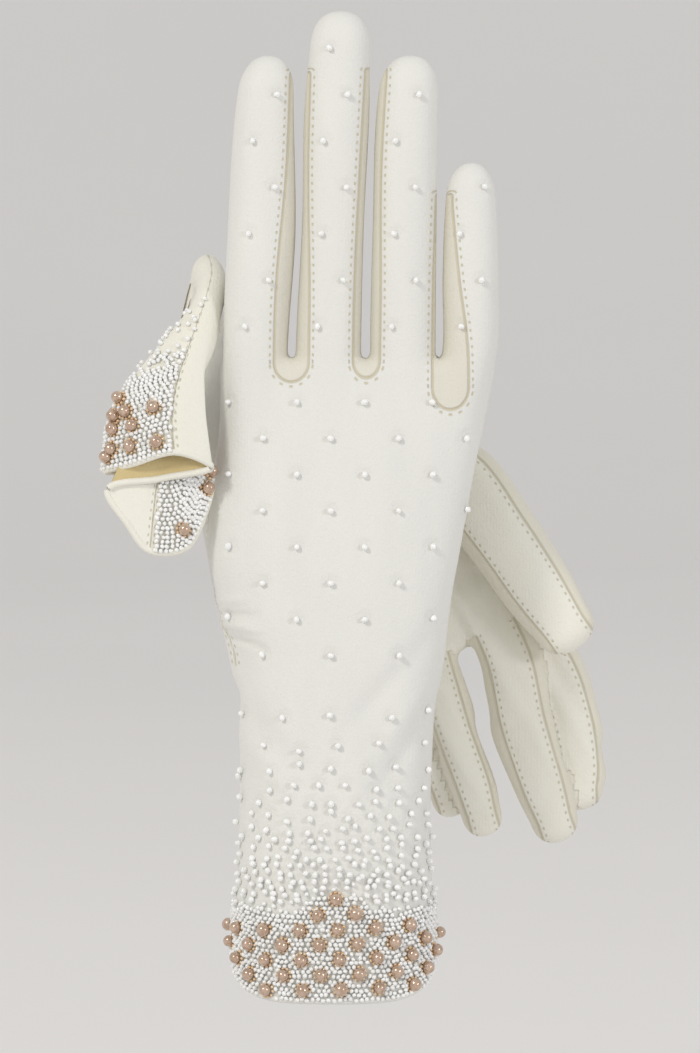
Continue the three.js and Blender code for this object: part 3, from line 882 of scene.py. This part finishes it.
def right_cuff():
    rng = np.random.default_rng(11)
    (_, _), half = wrist_point(np.zeros(1), np.full(1, 12.0))

    def hem_at(way):
        (p, _), _ = wrist_point(way, np.full(len(way), 8.0))
        return hem_height(p)

    pearls = lattice(
        (5.3, -3.9), (-4.8, -4.2), (0.5, 27.5), 0.72, 20.0, lambda s: hem_at(np.array([s]))[0] + 1.2, 40
    )
    rest = []
    pitch = SEED * 0.95
    for row in range(28):
        way = np.arange(-41, 41, pitch) + (row % 2) * pitch / 2
        way = way + rng.normal(0, 0.16, len(way))
        hem = hem_at(way)
        height = hem + 0.35 + row * pitch * 0.87 * (1 - hem / 60) + rng.normal(0, 0.15, len(way))
        top = np.maximum(30.5 - 0.5 * np.abs(way - 0.5), 24.5) + rng.normal(0, 1.0, len(way))
        rest.append(np.stack([way, height], -1)[height < top])
    rest = np.concatenate(rest)
    rest = rest[nearest_gap(rest, pearls) > PEARL * 0.5 + SEED * 0.3]
    return pearls, rest


cuff_pearls, cuff_seeds = right_cuff()
(pearl_points, pearl_normals), _ = wrist_point(*cuff_pearls.T)
(seed_points, seed_normals), _ = wrist_point(*cuff_seeds.T)
clear = nearest_gap(drops, seed_points) > SEED
drops, drop_normals = drops[clear], drop_normals[clear]

packed = beads("right_cuff_seed_beads", seed_points, seed_normals, SEED, WHITE_GLASS, 7, 4, 0.8, 0.42, 3)
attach(packed, "right_hand")
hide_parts("right_bead_band")
sown = beads("right_hand_seed_beads", drops, drop_normals, DROP, WHITE_GLASS, 10, 7, 0.82, 0.42, 4)
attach(sown, "right_hand")
pearls = beads("right_cuff_pearls", pearl_points, pearl_normals, PEARL, BRONZE, 20, 14, 1.0, 0.5, 5)
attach(pearls, "right_hand")
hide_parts("right_pearl_chain_1", "right_pearl_chain_2", "right_pearl_chain_3")
# a ring of beads round each pearl, tinted gold as a painted reflection of the pearl
ring_points, ring_normals = pearl_reflection_rings(pearl_points, pearl_normals, PEARL)
ring = beads("right_cuff_pearl_reflection_beads", ring_points, ring_normals, 1.05, PEARL_REFLECTION, 7, 4, 0.8, 0.5, 6)
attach(ring, "right_hand")
for k, (name, (places, ups)) in enumerate(finger_drops.items()):
    made = beads(name + "_seed_beads", places, ups, DROP, WHITE_GLASS, 10, 7, 0.82, 0.42, 20 + k)
    middle = right_fingers[name]["middle"](KNUCKLE_CUT) * MM
    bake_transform(made, "right_hand", name, start=(middle, 0, 0.175), end=(middle, 0, 0.192))


# ---- the left glove's shape --------------------------------------------------------------------
# the hand behind the right glove, from the back of the thumb it hangs over to its knuckles
left_palm = Sweep(
    [
        ((-34.8, 42.5, 184), (1, 0, 0), 4.8, 5.8),
        ((-36.8, 45.6, 165), (1, 0, -0.1), 9.0, 5.0),
        ((-27, 46.5, 145), (0.85, 0, 0.5), 16.5, 4.8),
        ((-6, 46.5, 128), (0.5, 0, 0.85), 21.5, 5.0),
        ((15, 46.5, 117), (0.5, 0, 0.86), 23.5, 5.4),
        ((31, 46.5, 104), (0.75, 0, 0.65), 23.0, 5.6),
        ((36, 46.5, 95), (0.8, 0, 0.6), 21.5, 5.4),
    ],
    2.3,
    5.0,
)
left_fingers = {
    "left_index": Sweep(
        [
            ((48, 48, 104), (1, 0, 0.3), 7.6, 5.6), ((61.5, 49, 86), (1, 0, 0.3), 8.2, 5.8),
            ((67.4, 48.5, 70), (1, 0, 0.2), 8.0, 5.8), ((69.4, 48, 58), (1, 0, 0.1), 7.6, 5.4),
            ((69.6, 47.5, 51), (1, 0, 0), 6.8, 4.8),
        ],
        2.2, 6.0,
    ),
    "left_middle": Sweep(
        [
            ((42, 45, 104), (1, 0, 0.3), 7.8, 5.4), ((49.6, 43.6, 88), (1, 0, 0.2), 8.4, 6.2),
            ((53.6, 43.4, 70), (1, 0, 0.25), 8.6, 6.2), ((59.0, 43.4, 53), (1, 0, 0.35), 8.0, 5.8),
            ((62.4, 43.6, 43), (1, 0, 0.35), 6.6, 4.8),
        ],
        2.2, 7.0,
    ),
    "left_ring": Sweep(
        [
            ((24, 46, 104), (1, 0, 0.3), 6.8, 5.4), ((28.6, 46.6, 86), (1, 0, 0.3), 6.9, 6.0),
            ((34.2, 46.6, 68), (1, 0, 0.3), 6.6, 6.0), ((39.6, 46.4, 53), (1, 0, 0.35), 6.4, 5.6),
            ((42.2, 46.2, 44), (1, 0, 0.35), 5.6, 4.6),
        ],
        2.2, 6.5,
    ),
    "left_little": Sweep(
        [
            ((12, 49, 100), (1, 0, 0.3), 6.0, 5.0), ((20.4, 51, 82), (1, 0, 0.3), 6.4, 5.2),
            ((26.8, 51.6, 66), (1, 0, 0.3), 6.2, 5.2), ((31.4, 51.8, 54), (1, 0, 0.3), 5.8, 4.8),
            ((33.2, 51.8, 48), (1, 0, 0.3), 5.0, 4.2),
        ],
        2.2, 5.6,
    ),
}
left_thumb = Sweep(
    [
        ((22, 46, 143), (0.5, 0, 0.85), 11.0, 5.0),
        ((35.5, 39.4, 137.5), (0.85, 0, 0.5), 11.6, 5.4),
        ((47.2, 34.2, 123), (0.86, 0, 0.5), 10.6, 5.8),
        ((57.2, 32.4, 108.5), (0.86, 0, 0.5), 10.0, 5.8),
        ((64.8, 31.0, 97.5), (0.86, 0, 0.5), 8.4, 5.2),
    ],
    2.2,
    7.0,
)


def left_folds(p):
    """Long soft creases of the empty hand, which run down into its fingers."""
    x, y, z = p.T
    down = 0.87 * z - 0.5 * x
    across = 0.5 * z + 0.87 * x
    wave = np.sin(across * 0.62 + 0.7 * np.sin(down * 0.05)) + 0.6 * np.sin(across * 1.13 + 2.0)
    calm = np.exp(-(((y - 46.5) / 9) ** 2))
    tip = 1 / (1 + np.exp((52 - z) / 4))
    return 0.46 * wave * calm * tip


def left_field(p):
    stalls = np.full(len(p), 50.0)
    for sweep in left_fingers.values():
        stalls = merge(stalls, sweep(p), 0.5)
    hand = merge(left_palm(p), stalls, 3.0)
    return merge(hand, left_thumb(p), 2.5) - left_folds(p)


def smooth_normals(points, faces):
    """Vertex normals of a mesh of four-cornered faces."""
    a, b, c, d = (points[faces[:, k]] for k in range(4))
    each = np.cross(c - a, d - b)
    normals = np.zeros_like(points)
    for k in range(4):
        np.add.at(normals, faces[:, k], each)
    return normals / np.maximum(np.linalg.norm(normals, axis=1, keepdims=True), 1e-12)


# the hem of the left cuff: a pleated loop, from the seam in front round to the seam again,
# each point with its share of the way
HEM = [
    (0.0, (-41.9, -17.2, 148.0)),
    (0.077, (-31.6, -14.6, 144.0)),
    (0.18, (-45.5, -12.6, 140.6)),
    (0.285, (-60.0, -13.4, 137.4)),
    (0.36, (-54.5, -13.8, 128.5)),
    (0.428, (-48.6, -13.4, 121.2)),
    (0.495, (-39.4, -12.0, 121.5)),
    (0.573, (-33.8, -10.0, 131.0)),
    (0.65, (-32.4, -6.6, 140.0)),
    (0.75, (-46.0, -3.6, 142.5)),
    (0.855, (-61.0, -8.6, 142.4)),
    (0.93, (-53.0, -14.6, 144.8)),
]
# the hanging cuff, from just above its hem, up and over the thumb: centre, half width, half depth, pleat left
CUFF = [
    ((-45.6, -10.0, 153.0), 14.6, 4.6, 0.75),
    ((-42.6, -8.0, 165.0), 12.0, 4.6, 0.5),
    ((-37.8, -4.5, 175.5), 7.8, 4.8, 0.12),
    ((-33.9, 1.5, 185.0), 4.4, 5.2, 0.0),
    ((-32.2, 9.5, 191.5), 4.2, 5.4, 0.0),
    ((-33.6, 19.0, 194.4), 4.4, 6.2, 0.0),
    ((-34.3, 31.5, 192.0), 4.6, 6.0, 0.0),
]


def hem_loop(share):
    """Points of the hem at each share of the way round it."""
    at = np.array([s for s, _ in HEM] + [1.0])
    place = np.array([p for _, p in HEM] + [HEM[0][1]], float)
    wide_at = np.concatenate([at[:-1] - 1, at[:-1], at + 1])
    wide = np.concatenate([place[:-1], place[:-1], place])
    return np.stack([curve(*zip(wide_at, wide[:, k]))(share) for k in range(3)], -1)


def cuff_rings(loop, shares, per=9):
    """Rings from the open end of the hand, over the thumb and down to the hem."""
    hem = hem_loop(shares)
    middle = np.array((-46.0, -11.0, 139.0))
    centres = np.array([c for c, _, _, _ in CUFF], float)[::-1]
    half = np.array([(w, d, k) for _, w, d, k in CUFF], float)[::-1]
    first = loop.mean(0)
    path = np.concatenate([[first], centres, [middle]])
    sizes = np.concatenate([[(5.8, 5.6, 0.0)], half, [(14.8, 4.6, 1.0)]])
    t = np.arange(len(path))
    fine = np.linspace(0, len(path) - 1, (len(path) - 1) * per + 1)
    centre = np.stack([curve(*zip(t, path[:, k]))(fine) for k in range(3)], -1)
    size = np.stack([curve(*zip(t, sizes[:, k]))(fine) for k in range(3)], -1)
    tangent = np.gradient(centre, axis=0)
    tangent /= np.linalg.norm(tangent, axis=1, keepdims=True)
    side = np.tile((1.0, 0, 0), (len(fine), 1))
    side -= (side * tangent).sum(1, keepdims=True) * tangent
    side /= np.linalg.norm(side, axis=1, keepdims=True)
    deep = np.cross(tangent, side)
    # a share of the way round as an angle: 0 at the seam in front, a quarter at the right edge
    angle = 2 * np.pi * shares
    rings = []
    start = None
    for k in range(len(fine)):
        c, s = np.cos(angle), np.sin(angle)
        oval_ring = centre[k] + np.outer(s * size[k, 0], side[k]) + np.outer(c * size[k, 1], deep[k])
        shaped = hem - middle
        shaped = shaped * (size[k, 0] / 14.8, 1.0, 0.25 + 0.75 * size[k, 2] ** 2) + centre[k]
        pleat = np.clip(size[k, 2], 0, 1)
        ring = oval_ring * (1 - pleat) + shaped * pleat
        if start is None:
            start = ring
        settle_in = max(0.0, 1 - k / (per * 1.5)) ** 2
        rings.append(ring + (loop - start) * settle_in)
    return np.array(rings)


FINER = 3  # corners of the cuff's rings for each corner of the hand's open end
KNUCKLE = np.array((42.0, 46.5, 91.0))
KNUCKLE_WAY = np.array((0.498, 0, -0.867))
THUMB_ROOT = np.array((27.0, 43.0, 147.0))
THUMB_WAY = np.array((0.598, -0.204, -0.775))


def left_cloth():
    """The hand, fingers and thumb from their field, and the cuff as rings from the hand's open end."""
    points, faces = skin(left_field, (-56, 22, 30), (82, 60, 190))
    points, normals = settle(left_field, points)
    centre = points[faces].mean(1)
    points, faces = keep_faces(points, faces[centre[:, 2] < 177.5])
    loop = in_order(borders(faces))
    ring = points[loop]
    finer = np.concatenate(
        [ring + (np.roll(ring, -1, 0) - ring) * k / FINER for k in range(FINER)], 1
    ).reshape(-1, 3)
    middle = ring.mean(0)
    angle = np.arctan2((finer[:, 0] - middle[0]) / 5.8, (finer[:, 1] - middle[1]) / 5.6)
    shares = (angle / (2 * np.pi)) % 1.0
    rings = cuff_rings(finer, shares)[1:]
    n, count = len(points), len(finer)
    faces = [faces]
    i = np.arange(len(loop))
    j = (i + 1) % len(loop)
    a, b = loop[i], loop[j]
    lows = [n + FINER * i + k for k in range(FINER)] + [n + FINER * j]
    faces.append(np.stack([b, a, lows[0], lows[1]], 1))
    for k in range(1, FINER):
        faces.append(np.stack([b, b, lows[k], lows[k + 1]], 1))
    i = np.arange(count)
    j = (i + 1) % count
    for k in range(len(rings) - 1):
        low = n + k * count
        faces.append(np.stack([low + j, low + i, low + count + i, low + count + j], 1))
    points = np.concatenate([points, rings.reshape(-1, 3)])
    faces = np.concatenate(faces)
    normals = smooth_normals(points, faces)
    grid = n + np.arange(len(rings) * count).reshape(len(rings), count)
    return points, faces, normals, grid[::-1], shares


points, faces, normals, cuff_grid, cuff_shares = left_cloth()
seam = np.full(len(points), 9.0)
along = points[:, 2].copy()
for sweep in list(left_fingers.values()) + [left_thumb]:
    way, u, v, beyond, width, depth = sweep.local(points)
    near = (np.abs(sweep(points)) < 1.2) & (way > 8)
    gap = width * 0.72 - np.abs(u)
    seam = np.where(near & (np.abs(gap) < np.abs(seam)), gap, seam)
    along = np.where(near, way, along)
side_seam = np.abs((cuff_shares + 0.5) % 1 - 0.5) * CUFF_GIRTH
for row in cuff_grid:
    seam[row] = np.minimum(side_seam, np.abs(cuff_shares - 0.428) * 150)
sewn = np.full(len(points), 9.0)
centre = points[faces].mean(1)
beyond_knuckle = (centre - KNUCKLE) @ KNUCKLE_WAY
beyond_root = (centre - THUMB_ROOT) @ THUMB_WAY
thumb_part = left_thumb(centre)
others = np.minimum(left_palm(centre), np.min([sweep(centre) for sweep in left_fingers.values()], 0))
label = np.where(beyond_knuckle > -4, 1, 0)
label = np.where((thumb_part < others) & (beyond_root > 8) & (centre[:, 1] < 43), 2, label)
for number, name in enumerate(("left_hand", "left_fingers", "left_thumb")):
    part = keep_faces(points, faces[label == number], normals, seam, along, sewn)
    # the cloth is drawn thinner where it is bunched over the thumb
    wall = np.where((part[0][:, 2] > 168) & (part[0][:, 1] < 14), 0.1, 0.45)[:, None]
    piece = cloth_piece(
        name + "_cloth", part[0], part[1], part[2], dict(seam=part[3], along=part[4], sewn=part[5]), CREAM,
        INSIDE_SHADE, wall,
    )
    if name == "left_hand":
        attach(piece, "left_hand")
        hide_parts("left_back_panel", "left_palm_panel", "left_hem_facing")
    elif name == "left_fingers":
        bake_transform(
            piece, "left_hand", name, start=tuple((KNUCKLE - 3 * KNUCKLE_WAY) * MM),
            end=tuple((KNUCKLE + 16 * KNUCKLE_WAY) * MM),
        )
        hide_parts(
            *[
                cad
                for cad in cad_names if cad.startswith(
                    ("left_index_", "left_middle_", "left_ring_", "left_little_")
                )
            ]
        )
    else:
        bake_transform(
            piece, "left_hand", name, start=tuple((THUMB_ROOT + 9 * THUMB_WAY) * MM),
            end=tuple((THUMB_ROOT + 30 * THUMB_WAY) * MM),
        )
        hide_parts("left_thumb_gusset", "left_thumb_wrap_strip")


roll = hem_roll("left_hem_roll", points[cuff_grid[0]], normals[cuff_grid[0]], CREAM)
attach(roll, "left_hand")


# ---- beads of the left cuff --------------------------------------------------------------------
cuff_points, cuff_normals = points[cuff_grid], normals[cuff_grid]
from_hem = np.concatenate(
    [
        np.zeros((1, cuff_points.shape[1])),
        np.cumsum(np.linalg.norm(np.diff(cuff_points, axis=0), axis=2), axis=0),
    ]
)


def cuff_row(height):
    """The closed line at that height above the hem: points, normals and shares of the way round, in order."""
    order = np.argsort(cuff_shares)
    line, ups = [], []
    for i in order:
        k = min(max(np.searchsorted(from_hem[:, i], height), 1), len(from_hem) - 1)
        t = (height - from_hem[k - 1, i]) / (from_hem[k, i] - from_hem[k - 1, i])
        line.append(cuff_points[k - 1, i] * (1 - t) + cuff_points[k, i] * t)
        ups.append(cuff_normals[k - 1, i] * (1 - t) + cuff_normals[k, i] * t)
    return np.array(line), np.array(ups), cuff_shares[order]


def left_seeds():
    """Packed above the hem of the back panel, and ever fewer above."""
    rng = np.random.default_rng(31)
    places, ups = [], []
    height, pitch = 0.5, SEED * 0.95
    while height < 48:
        line, up, share = cuff_row(height)
        run = np.concatenate([[0], np.cumsum(np.linalg.norm(np.diff(line, axis=0), axis=1))])
        at = np.arange(np.interp(0.432, share, run), run[-1], pitch)
        at = at + rng.normal(0, 0.12, len(at)) + rng.uniform(0, pitch)
        at = at[at < run[-1]]
        spread = min(1.0, max(0.0, (34 - height) / 12)) + 0.16 * (height >= 22)
        at = at[rng.random(len(at)) < spread]
        places.append(np.stack([np.interp(at, run, line[:, k]) for k in range(3)], -1))
        ups.append(np.stack([np.interp(at, run, up[:, k]) for k in range(3)], -1))
        height += pitch * 0.87
    places, ups = np.concatenate(places), np.concatenate(ups)
    return places, ups / np.linalg.norm(ups, axis=1, keepdims=True)


def left_pearls():
    """Pearls on the flap that hangs in front, and a lattice of them on the side that is turned away."""
    front = [
        (-56.3, 161.8), (-47.3, 159.7), (-54.7, 158.4), (-57.7, 157.1), (-52.9, 154.9), (-58.0, 153.8),
        (-46.5, 150.6), (-53.5, 149.4), (-58.4, 148.6), (-59.6, 146.4), (-39.5, 126.7),
    ]
    tree = BVHTree.FromPolygons(points.tolist(), [list(dict.fromkeys(map(int, f))) for f in faces])
    places, ups = [], []
    for x, z in front:
        place, up, _, _ = tree.ray_cast(Vector((x, -60, z)), Vector((0, 1, 0)))
        if place is not None:
            places.append(tuple(place))
            ups.append(tuple(up if up.y < 0 else -up))
    for row, height in enumerate((3.0, 7.2, 11.4, 15.6)):
        line, up, share = cuff_row(height)
        for at in np.arange(0.60 + 0.02 * (row % 2), 0.83, 0.04):
            k = int(np.argmin(np.abs(share - at)))
            places.append(line[k])
            ups.append(up[k] / np.linalg.norm(up[k]))
    return np.array(places, float), np.array(ups, float)


pearl_points, pearl_normals = left_pearls()
seed_points, seed_normals = left_seeds()
clear = nearest_gap(seed_points, pearl_points) > PEARL * 0.5 + SEED * 0.3
packed = beads(
    "left_cuff_seed_beads", seed_points[clear], seed_normals[clear], SEED, WHITE_GLASS, 7, 4, 0.8, 0.42, 41
)
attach(packed, "left_hand")
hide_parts("left_bead_band")
pearls = beads("left_cuff_pearls", pearl_points, pearl_normals, PEARL, BRONZE, 20, 14, 1.0, 0.5, 42)
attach(pearls, "left_hand")
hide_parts("left_pearl_chain_1", "left_pearl_chain_2", "left_pearl_chain_3")
# a ring of beads round each pearl, tinted gold as a painted reflection of the pearl
ring_points, ring_normals = pearl_reflection_rings(pearl_points, pearl_normals, PEARL)
ring = beads("left_cuff_pearl_reflection_beads", ring_points, ring_normals, 1.05, PEARL_REFLECTION, 7, 4, 0.8, 0.5, 43)
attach(ring, "left_hand")


# ---- floor, backdrop and lights ----------------------------------------------------------------
def backdrop():
    """A pale floor that sweeps up behind the gloves."""
    material, tree, shader = new_material("matt_grey_paper")
    place = node(tree, "ShaderNodeTexCoord").outputs["Object"]
    fibre = node(tree, "ShaderNodeTexNoise", {"Vector": place, "Scale": 3.0, "Detail": 3}).outputs["Fac"]
    tone = node(
        tree, "ShaderNodeMix", {0: fibre, 6: srgb("#f0eeed"), 7: srgb("#f4f2f1")}, data_type="RGBA"
    ).outputs[2]
    tree.links.new(tone, shader.inputs["Base Color"])
    shader.inputs["Roughness"].default_value = 0.9
    shader.inputs["Specular IOR Level"].default_value = 0.1
    low, far, turn = -60.0, 6000.0, 3000.0
    line = [(-7000, low), (far - turn, low)]
    line += [
        (far - turn + turn * math.sin(a), low + turn - turn * math.cos(a))
        for a in np.linspace(0.1, 1.5, 12)
    ]
    line += [(far, 7000)]
    points = np.array([(x, y, z) for y, z in line for x in (-8000, 8000)], float)
    faces = np.array([(2 * k, 2 * k + 1, 2 * k + 3, 2 * k + 2) for k in range(len(line) - 1)])
    make_mesh("backdrop", points, faces, material)


def soft_box(name, place, size, power, colour):
    data = bpy.data.lights.new(name, "AREA")
    data.shape = "DISK"
    data.size = size
    data.energy = power
    data.color = srgb(colour)[:3]
    light = bpy.data.objects.new(name, data)
    bpy.context.scene.collection.objects.link(light)
    light.location = place
    light.rotation_euler = (AIM - Vector(place)).to_track_quat("-Z", "Y").to_euler()


def room_light(colour, strength):
    world = bpy.data.worlds.new("room")
    world.use_nodes = True
    bpy.context.scene.world = world
    background = world.node_tree.nodes["Background"]
    background.inputs["Color"].default_value = srgb(colour)
    background.inputs["Strength"].default_value = strength


backdrop()
soft_box("key_light", (-2.0, -2.6, 2.4), 0.75, 50, "#fffcf5")
soft_box("fill_light", (2.4, -2.2, 0.85), 0.7, 19, "#fafaff")
room_light("#f3f3f2", 0.68)
bpy.context.scene.view_settings.view_transform = "Standard"
